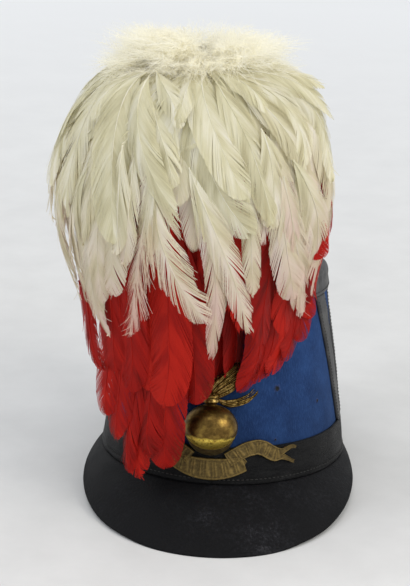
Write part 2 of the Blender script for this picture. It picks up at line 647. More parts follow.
# The seam is a fine groove between the two halves.
x, y, z = ball_point(up, turn, -0.28 * np.exp(-((np.degrees(up) - BALL_SEAM) / 1.6) ** 2))
x, y, z = np.broadcast_arrays(x, y, z)
faces = grid_faces(rings, sides, False, True)[:, ::-1].tolist()
faces.append(list(range(sides)))
faces.append([(rings - 1) * sides + k for k in range(sides)][::-1])
lie = np.stack([x, y, z - BALL_HEIGHT], axis=-1)
ball = make_mesh("badge_ball_brass", in_row(x, y, z), faces, ball_brass, lie=lie)
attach(ball, "root")
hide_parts("badge_ball")

# Badge cup
# A turned brass skirt behind the ball, which flares to a rolled rim on the cloth and is soldered to the
# ball's back. A cloth never reached it, so it has gone dull.

CUP_RADIUS = 15.5
CUP_HEIGHT = 34
# Each row of its outline: the radius, and the distance out from the cloth.
CUP_OUTLINE = [
    (6, 12),
    (10, 11.5),
    (12.5, 9),
    (13.6, 6.5),
    (14.6, 5.4),
    (CUP_RADIUS, 4.6),
    (CUP_RADIUS + 0.3, 3.6),
    (CUP_RADIUS, 2.7),
    (14.4, 2.5),
    (6, 2.5),
]

# Old brass in the hollows: dull olive, hardly polished, with grime in specks of 3 mm.
old_brass, tree = new_finish("dull olive brass")
place = add_node(tree, "TexCoord").outputs["Object"]
grime = add_node(tree, "TexNoise", {"Vector": place, "Scale": 1000 / 3, "Detail": 6.0, "Roughness": 0.7})
olive = add_node(tree, "ValToRGB", {"Fac": grime.outputs["Fac"]},
                 stops=[(0.32, "#3a2f18"), (0.5, "#54452a"), (0.68, "#6f5f3b")])
pits = add_node(tree, "Bump", {"Height": grime.outputs["Fac"], "Strength": 0.3, "Distance": 0.0004})
metal = add_node(tree, "BsdfPrincipled", {
    "Base Color": olive.outputs[0], "Metallic": 0.6, "Roughness": 0.46, "Normal": pits.outputs[0],
})
add_node(tree, "OutputMaterial", {"Surface": metal.outputs[0]})

_, half_length, shift = body_oval(CUP_HEIGHT)
radius = np.array([row[0] for row in CUP_OUTLINE])[:, None]
front = np.array([row[1] for row in CUP_OUTLINE])[:, None]
sides = 64
turn = np.linspace(0, 2 * math.pi, sides, endpoint=False)[None, :]
x = radius * np.sin(turn) - BADGE_SHIFT
y = -half_length + shift - front
z = CUP_HEIGHT + radius * np.cos(turn)
faces = grid_faces(len(CUP_OUTLINE), sides, True, True)
cup = make_mesh("badge_cup_brass", in_row(x, y, z), faces, old_brass)
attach(cup, "root")
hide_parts("badge_ball")

# Badge flame
# A stamped and chased flame brazed to a two-ring collar on the ball. Its strands rise to the wearer's left
# with one lick curling lower, and the hollows between them have gone black.

# Chased brass: polished on top of the strands and dark between them, with grime in specks of 2.4 mm.
flame_brass, tree = new_finish("chased brass")
lie = add_node(tree, "Attribute", attribute_name="lie").outputs["Vector"]
high = add_node(tree, "SeparateXYZ", {0: lie}).outputs[0]
place = add_node(tree, "TexCoord").outputs["Object"]
grime = add_node(tree, "TexNoise", {"Vector": place, "Scale": 1000 / 2.4, "Detail": 4.0, "Roughness": 0.7})
worn_top = add_node(tree, "Math", {0: high, 1: grime.outputs["Fac"]}, operation="MULTIPLY").outputs[0]
gold = add_node(tree, "ValToRGB", {"Fac": worn_top},
                stops=[(0.14, "#0a0804"), (0.32, "#2a1f0e"), (0.46, "#745b2c"), (0.62, "#c9ab68")])
metal = add_node(tree, "BsdfPrincipled", {"Base Color": gold.outputs[0], "Metallic": 1.0, "Roughness": 0.4})
add_node(tree, "OutputMaterial", {"Surface": metal.outputs[0]})

# Strands by the places of their ends, in millimetres of arc and height from the middle of the collar's top,
# with how far each sags on its way, and how far it stands off the cloth. Finer ones fill the gaps in a tuft.
FAN = [
    (-5.6, 0.6, -2.5, 9.8, 0.0, 2.6),
    (-4.8, 1.0, 0.6, 11.8, 0.0, 3.2),
    (-4.0, 1.0, 4.6, 14.0, 0.2, 3.8),
    (-3.2, 1.0, 8.4, 17.0, 0.4, 4.6),
    (-2.4, 1.0, 11.6, 20.2, 0.4, 4.0),
    (-1.6, 1.0, 14.2, 22.4, 0.2, 5.0),
    (-0.8, 1.0, 16.6, 23.0, 0.0, 4.2),
    (0.0, 1.0, 18.8, 22.0, -0.4, 5.2),
    (0.8, 1.0, 20.6, 20.2, -0.8, 4.2),
    (1.6, 0.8, 20.4, 17.4, -1.2, 5.0),
    (2.4, 0.6, 19.4, 14.2, -1.6, 4.0),
    (3.0, 0.4, 17.6, 11.0, -1.8, 4.6),
    (3.6, 0.2, 15.6, 8.0, -1.8, 3.8),
]
LICK = [
    (3.0, 0.2, 26.0, 5.6, -4.6, 4.4),
    (3.6, 0.0, 28.6, 4.4, -5.2, 4.8),
    (4.2, -0.4, 28.8, 3.0, -5.4, 4.2),
    (4.6, -0.8, 26.0, 0.6, -4.8, 4.6),
    (4.8, -1.2, 22.6, -1.4, -3.8, 3.8),
]
LEFT_LICK = [
    (-4.8, 0.6, -18.0, 12.0, -2.0, 3.2),
    (-5.0, 0.3, -20.5, 9.5, -2.4, 3.8),
    (-5.2, 0.0, -21.0, 7.0, -3.0, 3.2),
    (-5.4, -0.4, -19.0, 4.6, -3.2, 3.6),
]
COLLAR_ARC = -0.4
COLLAR_TOP = 56.0
FLAME_STAND = 1.6
FINER = 0.75


def arc_to_angle(arc, height):
    """Degrees from the front at which an arc along the body ends."""
    half_width, half_length, _ = body_oval(height)
    angle = np.degrees(arc / half_width)
    for _ in range(4):
        turn = np.radians(angle) * 0.5
        angle = np.degrees(arc / np.hypot(half_width * np.cos(turn), half_length * np.sin(turn)))
    return angle


def on_front(arc, height, out):
    """Points by the arc along the body from the badge's middle, height above the rim and distance out."""
    return on_body(arc_to_angle(arc - BADGE_SHIFT, height), height, out)


strands = []
for tuft in (FAN, LICK, LEFT_LICK):
    strands += [(*strand, 1.0) for strand in tuft]
    strands += [(*[(a + b) / 2 for a, b in zip(*pair)], FINER) for pair in zip(tuft, tuft[1:])]
points, faces, lies = [], [], []
stations, sides = 16, 6
for foot_arc, foot_up, tip_arc, tip_up, bow, stand, size in strands:
    share = np.linspace(0, 1, stations)[:, None]
    bend = np.sin(math.pi * share)
    curl = np.clip((share - 0.82) / 0.18, 0, 1) ** 2
    arc = COLLAR_ARC + foot_arc + (tip_arc - foot_arc) * share ** 1.35 - 1.2 * curl * np.sign(tip_arc)
    height = COLLAR_TOP + foot_up + (tip_up - foot_up) * share ** 0.85 + bow * bend * 0.8 + 1.2 * curl
    radius = size * (0.85 - 0.5 * share ** 1.6)
    turn = np.linspace(0, 2 * math.pi, sides, endpoint=False)[None, :]
    stand_off = 1.2 * size + (stand + FLAME_STAND) * np.sin(math.pi * (0.2 + 0.5 * share)) ** 0.7
    path = np.concatenate([arc, height], axis=1)
    heading = np.gradient(path, axis=0)
    heading /= np.linalg.norm(heading, axis=1, keepdims=True)
    across = radius * np.cos(turn)
    start = len(points)
    ring = on_front(arc - heading[:, 1:2] * across, height + heading[:, :1] * across,
                    stand_off + radius * np.sin(turn))
    points += list(ring.reshape(-1, 3))
    high = np.broadcast_to(0.5 + 0.5 * np.sin(turn), (stations, sides)) * (1.3 - 0.5 * share)
    lies += [(value, 0, 0) for value in high.reshape(-1)]
    faces += grid_faces(stations, sides, False, True, start)[:, ::-1].tolist()
    faces.append([start + k for k in range(sides)])
    faces.append([start + (stations - 1) * sides + k for k in range(sides)][::-1])
flame = make_mesh("badge_flame_brass", points, faces, flame_brass, lie=lies)
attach(flame, "root")
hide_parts("badge_flame")

# Badge collar
# Two turned rings of brass in one piece, brazed between the ball and the foot of the flame. They are of the
# flame's brass, polished all round.

COLLAR_FORWARD = 10
# Each row of its outline: the radius, and the height.
COLLAR_OUTLINE = [
    (2.5, -0.4),
    (4.2, -0.4),
    (5.0, 0.5),
    (5.2, 1.2),
    (4.9, 1.9),
    (3.9, 2.5),
    (4.6, 3.1),
    (4.8, 3.8),
    (4.4, 4.5),
    (3.6, 5.0),
    (2.5, 5.0),
]
radius = np.array([row[0] for row in COLLAR_OUTLINE])[:, None]
level = np.array([row[1] for row in COLLAR_OUTLINE])[:, None]
sides = 40
turn = np.linspace(0, 2 * math.pi, sides, endpoint=False)[None, :]
_, half_length, shift = body_oval(COLLAR_TOP - 4)
x = COLLAR_ARC - BADGE_SHIFT + radius * np.sin(turn)
y = -half_length + shift - COLLAR_FORWARD - radius * np.cos(turn) * 0.9
z = COLLAR_TOP - 1.2 + 1.1 * level
x, y, z = np.broadcast_arrays(x, y, z)
faces = grid_faces(len(COLLAR_OUTLINE), sides, True, True)[:, ::-1]
lie = np.stack([0.95 + 0 * x, x, z], axis=-1)
collar = make_mesh("badge_collar_brass", in_row(x, y, z), faces, flame_brass, lie=lie)
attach(collar, "root")
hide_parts("badge_flame")

# Badge ribbon
# A flat stamped ribbon of brass that hangs under the ball, folds back at each end and flies out in a forked
# tail. Plain slanted ribs stand on it. It has gone matte and olive.

RIBBON_WIDTH = 13.8
RIBBON_BACK = 2.4
RIBBON_STEP = 0.45
# Over the ribbon's section: the share of half its width, the height of its surface, and how far ribs reach.
RIBBON_SECTION = [
    (-1, 0, 0),
    (-1, 0.9, 0),
    (-0.96, 1.25, 0),
    (-0.86, 1.3, 0),
    (-0.78, 1.0, 0),
    (-0.7, 0.9, 0.6),
    (-0.5, 0.9, 1),
    (-0.25, 0.9, 1),
    (0, 0.9, 1),
    (0.25, 0.9, 1),
    (0.5, 0.9, 1),
    (0.7, 0.9, 0.6),
    (0.78, 1.0, 0),
    (0.86, 1.3, 0),
    (0.96, 1.25, 0),
    (1, 0.9, 0),
    (1, 0, 0),
]

# Matte brass: scoured pale on the relief and olive in the ground, with grime in specks of 2.5 mm.
ribbon_brass, tree = new_finish("matte scoured brass")
lie = add_node(tree, "Attribute", attribute_name="lie").outputs["Vector"]
high = add_node(tree, "SeparateXYZ", {0: lie}).outputs[2]
place = add_node(tree, "TexCoord").outputs["Object"]
grime = add_node(tree, "TexNoise", {"Vector": place, "Scale": 1000 / 2.5, "Detail": 6.0, "Roughness": 0.75})
relief = add_node(tree, "Math", {0: high, 1: 0.55, 2: grime.outputs["Fac"]},
                  operation="MULTIPLY_ADD").outputs[0]
matte = add_node(tree, "ValToRGB", {"Fac": relief},
                 stops=[(0.34, "#392d15"), (0.54, "#5b4b27"), (0.78, "#7d6838"), (1.0, "#a68d55")])
pits = add_node(tree, "Bump", {"Height": grime.outputs["Fac"], "Strength": 0.35, "Distance": 0.0004})
metal = add_node(tree, "BsdfPrincipled", {
    "Base Color": matte.outputs[0], "Metallic": 0.7, "Roughness": 0.55, "Normal": pits.outputs[0],
})
add_node(tree, "OutputMaterial", {"Surface": metal.outputs[0]})


def ribbon_strip(line, rise, ribs, mirror=1):
    """Points, lies and faces of a strip along (arc, height, width) points, with ribs this far apart."""
    line = np.array(line, float)
    length = np.concatenate([[0], np.cumsum(np.hypot(*np.diff(line[:, :2], axis=0).T))])
    at = np.arange(0, length[-1] + 0.01, RIBBON_STEP)
    fine = np.stack([np.interp(at, length, line[:, i]) for i in range(3)], axis=1)
    for _ in range(12):
        fine[1:-1] = (fine[:-2] + 2 * fine[1:-1] + fine[2:]) / 4
    heading = np.gradient(fine[:, :2], axis=0)
    heading /= np.linalg.norm(heading, axis=1, keepdims=True)
    across, lift, inside = np.array(RIBBON_SECTION).T[:, None, :]
    across = across / 2
    reach = fine[:, 2:3] * across
    phase = at[:, None] / max(ribs, 0.1) + 0.55 * across + 0.3 * np.sin(0.9 * at[:, None])
    stroke = np.exp(-((phase - np.round(phase)) / 0.17) ** 2) if ribs else 0
    height = fine[:, 1:2] + heading[:, :1] * reach
    arc = (fine[:, :1] - heading[:, 1:2] * reach) * mirror
    out = RIBBON_BACK + rise + lift + 0.5 * stroke * inside
    points = on_front(arc, height, out)
    polish = 0.4 * stroke * inside + 0.3 * (lift > 1.1)
    lie = np.stack(np.broadcast_arrays(arc, height, polish), axis=-1)
    faces = grid_faces(len(at), len(RIBBON_SECTION), False, True)
    return points.reshape(-1, 3), lie.reshape(-1, 3), faces if mirror > 0 else faces[:, ::-1]


# Each strip follows these places: arc along the body, height above the rim, and the strip's width.
MIDDLE = [(arc, 10 + 4 * (arc / 22) ** 2, RIBBON_WIDTH - 4.6 * (arc / 24) ** 2)
          for arc in np.linspace(-24, 22.5, 25)]
FOLD = [
    (22.6, 12.8, 5.5),
    (20, 14.2, 8),
    (17, 15.6, 9),
    (13.5, 17.0, 9.4),
]
TAIL = [
    (11.6, 16.6, 9.2),
    (15, 18.8, 9.2),
    (19, 21.2, 9.4),
    (23.5, 23.4, 9.6),
    (30, 24.6, 9.6),
    (34.5, 23.4, 9.4),
    (38.5, 20.8, 9.2),
    (42.5, 18.6, 9.2),
    (48, 18.6, 6.6),
]
UP_PRONG = [
    (46, 19.4, 4.4),
    (50, 21.0, 3.2),
    (54, 22.4, 2.4),
    (57.4, 22.2, 2.1),
    (58.8, 21.0, 1.7),
]
LOW_PRONG = [
    (46, 17.4, 4.4),
    (50, 16.0, 3.2),
    (53.6, 14.2, 2.3),
    (56.4, 12.4, 2.1),
    (57.4, 12.4, 2.0),
]
points, lies, faces = [], [], []
strips = [(MIDDLE, 0.0, 2.7, 1)]
for mirror in (1, -1):
    strips.append((FOLD, -0.9, 0, mirror))
    strips.append((TAIL, 0.25, 2.5, mirror))
    strips.append((UP_PRONG, 0.2, 0, mirror))
    strips.append((LOW_PRONG, 0.2, 0, mirror))
for line, rise, ribs, mirror in strips:
    strip_points, strip_lies, strip_faces = ribbon_strip(line, rise, ribs, mirror)
    faces += (strip_faces + len(points)).tolist()
    points += list(strip_points)
    lies += list(strip_lies)
ribbon = make_mesh("badge_ribbon_brass", points, faces, ribbon_brass, lie=lies)
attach(ribbon, "root")
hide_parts("badge_ribbon")

# Plume stem
# A turned beech stick that stands in a socket on the crown and carries the feathers, which are tied to it
# with thread. Only its foot shows, from behind and below.

# Beech: pale brown with long grain, oiled. Its rays are 0.9 mm apart, coarser than real ones, to show.
beech, tree = new_finish("oiled beech")
place = add_node(tree, "TexCoord").outputs["Object"]
long_place = add_node(tree, "VectorMath", {0: place, 1: (1.0, 1.0, 0.08)}, operation="MULTIPLY").outputs[0]
rays = add_node(tree, "TexNoise", {"Vector": long_place, "Scale": 1000 / 0.9, "Detail": 4.0})
brown = add_node(tree, "ValToRGB", {"Fac": rays.outputs["Fac"]}, stops=[(0.3, "#5a422b"), (0.7, "#8b6d4b")])
fine = add_node(tree, "Bump", {"Height": rays.outputs["Fac"], "Strength": 0.2, "Distance": 0.0002})
wood = add_node(tree, "BsdfPrincipled", {
    "Base Color": brown.outputs[0], "Roughness": 0.6, "Normal": fine.outputs[0],
})
add_node(tree, "OutputMaterial", {"Surface": wood.outputs[0]})
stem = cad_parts["plume_stem"]
stem.data.materials.clear()
stem.data.materials.append(beech)

# Red feathers
# Dyed cock feathers tied to the stem under the white ones. They hang like a fountain, lowest at the front
# and the wearer's right, with broad smooth vanes that fray at the tips.

PLUME_RISE = 151
PLUME_RADIUS = 91
PLUME_LENGTH = 272
PLUME_SIDEWAYS = 23
plume_front = on_body(0, lip_top, 0)
plume_top = np.array([hat_x - PLUME_SIDEWAYS, plume_front[1] - 2, plume_front[2] + PLUME_RISE])

# The fountain's form from the top down: share of the length fallen, then shares of the radius for how far
# the middle sways to the wearer's left, half the width, and the reach to the front and the back.
FALL = np.array([
    [0.0, 0.05, 0.12, 0.12, 0.1],
    [0.02, 0.06, 0.42, 0.4, 0.32],
    [0.06, 0.04, 0.64, 0.6, 0.5],
    [0.13, 0.03, 0.82, 0.76, 0.64],
    [0.22, 0.01, 0.93, 0.86, 0.72],
    [0.33, 0.0, 0.99, 0.91, 0.75],
    [0.45, 0.0, 0.95, 0.91, 0.74],
    [0.58, 0.02, 0.85, 0.87, 0.7],
    [0.7, 0.04, 0.82, 0.82, 0.64],
    [0.8, 0.0, 0.78, 0.78, 0.6],
    [0.9, -0.1, 0.68, 0.74, 0.5],
    [1.0, -0.2, 0.54, 0.7, 0.4],
])


def on_fall(azimuth, along, layer):
    """Points of the fountain: degrees from the front, share along the fall, and layer, 1 at the outside."""
    along = np.clip(along, 0, 1)
    place = along * (len(FALL) - 1)
    low = np.clip(np.floor(place).astype(int), 0, len(FALL) - 2)
    part = (place - low)[..., None]
    before, here = FALL[np.maximum(low - 1, 0)], FALL[low]
    after, beyond = FALL[low + 1], FALL[np.minimum(low + 2, len(FALL) - 1)]
    twice = before - 2.5 * here + 2 * after - beyond / 2
    thrice = 1.5 * (here - after) + (beyond - before) / 2
    row = here + part * ((after - before) / 2 + part * (twice + part * thrice))
    down, sway, half, front, back = np.moveaxis(row, -1, 0)
    sin, cos = np.sin(np.radians(azimuth)), np.cos(np.radians(azimuth))
    inset = (1 - layer) * PLUME_RADIUS * np.maximum(0, 1 - 2.2 * along)
    return np.stack([
        plume_top[0] + PLUME_RADIUS * (sway + layer * half * sin),
        plume_top[1] - PLUME_RADIUS * layer * np.where(cos > 0, front, back) * cos,
        plume_top[2] - PLUME_LENGTH * down - inset,
    ], axis=-1)


def clear_of_hat(points, room):
    """Points pushed out of the hat, so that feathers drape over it and not through it."""
    x = points[..., 0] - hat_x
    y = (points[..., 1] - hat_y) * math.cos(lean) - (points[..., 2] - hat_z) * math.sin(lean)
    z = (points[..., 1] - hat_y) * math.sin(lean) + (points[..., 2] - hat_z) * math.cos(lean)
    half_width, half_length, shift = body_oval(np.clip(z, 0, BODY_HEIGHT))
    inside = np.hypot(x / (half_width + room), (y - shift) / (half_length + room))
    top = lip_top + 1.5
    over = (inside < 1) & (z < top)
    # Those nearer to the crown than to the wall lie on the crown instead.
    lifted = over & (top - z < (1 - inside) * 70)
    pushed = over & ~lifted
    grow = np.where(pushed, 1 / np.maximum(inside, 0.05), 1)
    x, y = x * grow, shift + (y - shift) * grow
    z = np.where(lifted, top - 0.2 * (z - top), z)
    return in_row(x, y, z)


class Plumage:
    """Gathers feathers into one mesh."""

    def __init__(self, seed):
        self.rng = np.random.default_rng(seed)
        self.points, self.faces, self.lies, self.stains = [], [], [], []
        self.count = 0

    def add(self, points, faces, lie, stain):
        """Takes in the points and faces of one part of a feather, with their notes for the material."""
        self.points.append(points.reshape(-1, 3))
        self.faces.append(faces.reshape(-1, 4) + self.count)
        self.lies.append(lie.reshape(-1, 3))
        self.stains.append(stain.reshape(-1, 3))
        self.count += points.reshape(-1, 3).shape[0]

    def piece(self, name, material):
        """The gathered feathers as one piece."""
        return make_mesh(name, np.concatenate(self.points), np.concatenate(self.faces), material,
                         lie=np.concatenate(self.lies), stain=np.concatenate(self.stains))


def feather(flock, turns, falls, layers, width, blunt=3.0, loose=0.2, blush=0.0, room=8.0, barb=1.0,
            quill_tone=1.2, facing=0.0):
    """One feather on the fountain. Turns and falls are where its root, middle and tip lie, and layers is how
    deep the root and tip are. Blunt is how square the tip is, loose how far the barbs have parted, room how
    far it keeps off the hat, and barb how wide each barb is. Facing is how far a feather at the side turns
    its flat to the front, in radians."""
    rng = flock.rng
    tone = rng.uniform(0, 1)
    number = rng.uniform(0, 1000)
    t = np.linspace(0, 1, 40)

    def through(values):
        """A smooth run through a value at the root, the middle and the tip."""
        first, mid, last = values
        bend = 2 * mid - (first + last) / 2
        return (1 - t) ** 2 * first + 2 * t * (1 - t) * bend + t ** 2 * last

    azimuth, along = through(turns), through(falls)
    layer = layers[0] + (layers[1] - layers[0]) * t
    spine = on_fall(azimuth, along, layer)
    spine += 0.6 * np.sin(5 * t + number)[:, None] * (on_fall(azimuth, along, layer + 0.02) - spine)
    ahead = np.gradient(spine, axis=0)
    length = np.linalg.norm(ahead, axis=1).sum()
    ahead /= np.linalg.norm(ahead, axis=1, keepdims=True)
    round_it = on_fall(azimuth + 1.0, along, layer) - on_fall(azimuth - 1.0, along, layer)
    down_it = on_fall(azimuth, along + 0.01, layer) - on_fall(azimuth, along - 0.01, layer)
    out = np.cross(down_it, round_it)
    out /= np.linalg.norm(out, axis=1, keepdims=True)
    side = np.cross(out, ahead)
    side /= np.linalg.norm(side, axis=1, keepdims=True)
    twist = rng.normal(0, 0.13) + rng.normal(0, 0.2) * t
    twist += facing * np.sign(turns[1]) * np.clip((abs(turns[1]) - 45) / 45, 0, 1)
    side, out = (side * np.cos(twist)[:, None] + out * np.sin(twist)[:, None],
                 out * np.cos(twist)[:, None] - side * np.sin(twist)[:, None])

    def at(s, vectors):
        """Vectors at shares of the way along the quill."""
        return np.stack([np.interp(s, t, vectors[:, i]) for i in range(3)], axis=-1)

    # Each barb is a strip of five points a side from the quill out, swept towards the tip, and neighbouring
    # barbs cling together in clumps that slip and lift as one.
    half = width / 2
    barbs = max(16, int(length / barb))
    columns = 5
    u = np.linspace(0, 1, columns)
    slipping = 0.004 + 0.045 * loose
    for hand in (-1, 1):
        lean_in = 1 + hand * rng.uniform(-0.12, 0.12)
        root = (np.arange(barbs) + 0.5) / barbs * 0.985
        clump = np.cumsum(rng.random(barbs) < 0.03 + 0.2 * loose)
        slip = rng.normal(0, slipping, clump[-1] + 1)[clump]
        lift = rng.normal(0, 0.15 + 1.3 * loose, clump[-1] + 1)[clump]
        sweep = 2.6 * half / length
        swept = sweep * (1 - np.exp(-(1 - root) / sweep))
        tip = np.clip(root + swept, 0, 1)
        outline = (0.42 + 0.58 * np.clip(tip / 0.3, 0, 1) ** 0.8) * (1 - tip ** (2 + 2 * blunt)) ** 0.62
        shortened = 1 - 0.05 * rng.random(barbs) - 0.22 * loose * rng.random(barbs) ** 2
        reach = half * lean_in * outline * shortened
        reach *= 1 - 0.3 * loose * np.abs(slip) / slipping
        stray = rng.random(barbs) < 0.01 + 0.22 * loose
        stray_lift = np.where(stray, rng.normal(0, 1.5 + 1.5 * loose, barbs), 0)
        roll = rng.normal(0, 0.04, barbs) + 0.05
        for_edge = np.array([-0.5, 0.5])
        ragged = np.where(stray, 0.9, 0.1 + 0.5 * loose)[:, None, None]
        full = 1.4 - ragged * u[None, None, :] ** 3 - 0.35 * loose * u[None, None, :]
        s = root[:, None, None] + swept[:, None, None] * u[None, None, :] ** 1.15
        s = s + for_edge[None, :, None] * full / barbs
        s = s + slip[:, None, None] * u[None, None, :] ** 1.6
        s = np.clip(s, 0, 1.02)
        a = hand * reach[:, None, None] * u[None, None, :] + 0 * s
        share = np.abs(a) / half
        rise = (lift + stray_lift)[:, None, None] * u[None, None, :] ** 2 - 0.26 * half * share ** 2
        rise = rise + roll[:, None, None] * for_edge[None, :, None] * (0.3 + u[None, None, :])
        over = np.maximum(s - 1, 0)[..., None] * length
        points = at(s, spine) + at(s, side) * a[..., None] + at(s, out) * rise[..., None]
        points = clear_of_hat(points + at(s, ahead) * over, room)
        strips = np.arange(barbs)[:, None] * 2 * columns
        column = np.arange(columns - 1)[None, :]
        quads = np.stack([strips + column, strips + column + 1, strips + columns + column + 1,
                          strips + columns + column], axis=-1)
        if hand < 0:
            quads = quads[..., ::-1]
        lie = np.stack(np.broadcast_arrays(root[:, None, None] * length + 40 * hand, a, number), axis=-1)
        stain = np.stack(np.broadcast_arrays(s, blush, tone), axis=-1)
        flock.add(points, quads, lie, stain)
    # The quill is a thin tube that tapers from 0.55 mm in radius.
    quill = np.linspace(0, 0.97, 16)
    turn = np.linspace(0, 2 * math.pi, 5, endpoint=False)
    thick = (0.55 - 0.45 * quill)[:, None, None]
    sideways = at(quill, side)[:, None, :] * np.cos(turn)[None, :, None]
    outward = at(quill, out)[:, None, :] * (0.3 + np.sin(turn)[None, :, None])
    points = at(quill, spine)[:, None, :] + thick * (sideways + outward)
    points = clear_of_hat(points, room + 0.4)
    lie = np.stack(np.broadcast_arrays(quill[:, None] * length, 0 * turn[None, :], number), axis=-1)
    stain = np.stack(np.broadcast_arrays(quill[:, None], blush, quill_tone + 0 * turn[None, :]), axis=-1)
    flock.add(points, grid_faces(16, 5, False, True), lie, stain)


# Dyed cock feather: the barbs lie side by side with a silky gleam, and the thin vane lets light through.
red_vane, tree = new_finish("dyed red cock feather")
lie = add_node(tree, "Attribute", attribute_name="lie").outputs["Vector"]
note = add_node(tree, "Attribute", attribute_name="stain").outputs["Vector"]
stain = add_node(tree, "SeparateXYZ", {0: note})
fine_lie = add_node(tree, "VectorMath", {0: lie, 1: (1.0, 0.07, 1.0)}, operation="MULTIPLY").outputs[0]
# Streaks follow bundles of barbs 1 mm apart, and the dye has taken in patches of 16 mm.
streaks = add_node(tree, "TexNoise", {"Vector": fine_lie, "Scale": 1 / 1.0, "Detail": 3.0, "Roughness": 0.7})
bands = add_node(tree, "TexNoise", {"Vector": lie, "Scale": 1 / 16, "Detail": 3.0})
mixed = add_node(tree, "Math", {0: streaks.outputs["Fac"], 1: 0.3, 2: bands.outputs["Fac"]},
                 operation="MULTIPLY_ADD").outputs[0]
toned = add_node(tree, "Math", {0: stain.outputs[2], 1: 0.35, 2: mixed}, operation="MULTIPLY_ADD").outputs[0]
red = add_node(tree, "ValToRGB", {"Fac": toned},
               stops=[(0.45, "#6b0a04"), (0.65, "#940f07"), (0.88, "#a81409"), (1.1, "#ba1e10")])
ridges = add_node(tree, "Bump", {"Height": streaks.outputs["Fac"], "Strength": 0.22, "Distance": 0.0004})
face = add_node(tree, "BsdfPrincipled", {
    "Base Color": red.outputs[0], "Roughness": 0.5, "Normal": ridges.outputs[0], "Specular IOR Level": 0.16,
})
through_it = add_node(tree, "BsdfTranslucent", {"Color": red.outputs[0], "Normal": ridges.outputs[0]})
vane = add_node(tree, "MixShader", {0: 0.22, 1: face.outputs[0], 2: through_it.outputs[0]})
add_node(tree, "OutputMaterial", {"Surface": vane.outputs[0]})

# The feathers that show at the front: turns, falls, layers, width, bluntness, looseness, room over the hat.
# Those at the wearer's left end close to the cloth, under the badge's flame.
RED_FRONT = [
    ((-75, -72, -60), (0.40, 0.56, 0.70), (0.74, 0.74), 28, 2.0, 0.15, 8),
    ((-52, -52, -46), (0.40, 0.58, 0.76), (0.76, 0.76), 28, 2.0, 0.15, 8),
    ((-34, -36, -34), (0.42, 0.60, 0.80), (0.77, 0.77), 28, 2.4, 0.12, 8),
    ((-16, -20, -22), (0.45, 0.62, 0.78), (0.82, 0.82), 28, 3.0, 0.06, 8),
    ((44, 50, 54), (0.40, 0.55, 0.70), (0.86, 0.80), 28, 2.4, 0.1, 4),
    ((58, 68, 72), (0.40, 0.55, 0.69), (0.90, 0.86), 26, 2.4, 0.1, 6),
    ((24, 44, 43), (0.50, 0.70, 0.812), (0.42, 0.37), 28, 3.0, 0.08, 1),
    ((45, 58, 56), (0.50, 0.69, 0.80), (0.50, 0.47), 27, 3.0, 0.1, 1),
    ((84, 99, 94), (0.42, 0.60, 0.685), (0.95, 0.99), 22, 2.0, 0.12, 6),
    ((82, 96, 88), (0.42, 0.63, 0.722), (0.95, 0.92), 22, 1.8, 0.12, 6),
    ((76, 90, 80), (0.44, 0.66, 0.752), (0.94, 0.83), 22, 1.8, 0.12, 6),
    ((70, 84, 73), (0.45, 0.68, 0.782), (0.88, 0.745), 23, 1.8, 0.12, 5),
    ((60, 76, 66), (0.46, 0.69, 0.798), (0.80, 0.67), 24, 2.0, 0.12, 5),
    ((50, 64, 56), (0.48, 0.703, 0.818), (0.74, 0.61), 22, 2.4, 0.08, 6),
    ((68, 70, 72), (0.42, 0.50, 0.55), (0.88, 1.03), 24, 3.0, 0.1, 8),
    ((4, 5, 11), (0.50, 0.672, 0.812), (0.79, 0.76), 26, 3.0, 0.06, 6),
    ((-8, -8, 10), (0.55, 0.795, 0.956), (0.84, 0.84), 28, 3.4, 0.05, 8),
    ((-16, -18, -5), (0.55, 0.802, 0.931), (0.83, 0.83), 25, 2.6, 0.15, 8),
    ((-25, -30, -19), (0.58, 0.839, 0.981), (0.80, 0.80), 21, 1.4, 0.28, 8),
    ((-21, -21, -7), (0.58, 0.857, 0.986), (0.79, 0.79), 21, 1.4, 0.28, 8),
    ((-34, -48, -46), (0.52, 0.744, 0.867), (0.87, 0.88), 24, 1.8, 0.12, 8),
    ((-29, -40, -33), (0.52, 0.77, 0.911), (0.85, 0.86), 25, 2.0, 0.12, 8),
    ((-80, -76, -50), (0.62, 0.69, 0.752), (0.90, 0.92), 12, 1.4, 0.2, 8),
    ((-66, -70, -47), (0.58, 0.69, 0.757), (0.90, 0.90), 13, 1.4, 0.2, 8),
    ((-41, -53, -51), (0.46, 0.642, 0.733), (0.88, 0.88), 22, 1.8, 0.2, 8),
    ((-34, -41, -43), (0.48, 0.648, 0.756), (0.88, 0.88), 25, 2.2, 0.15, 8),
    ((-25, -30, -30), (0.46, 0.658, 0.79), (0.87, 0.87), 26, 2.6, 0.12, 8),
    ((-4, -7, -9), (0.46, 0.653, 0.805), (0.87, 0.87), 29, 4.0, 0.04, 8),
]
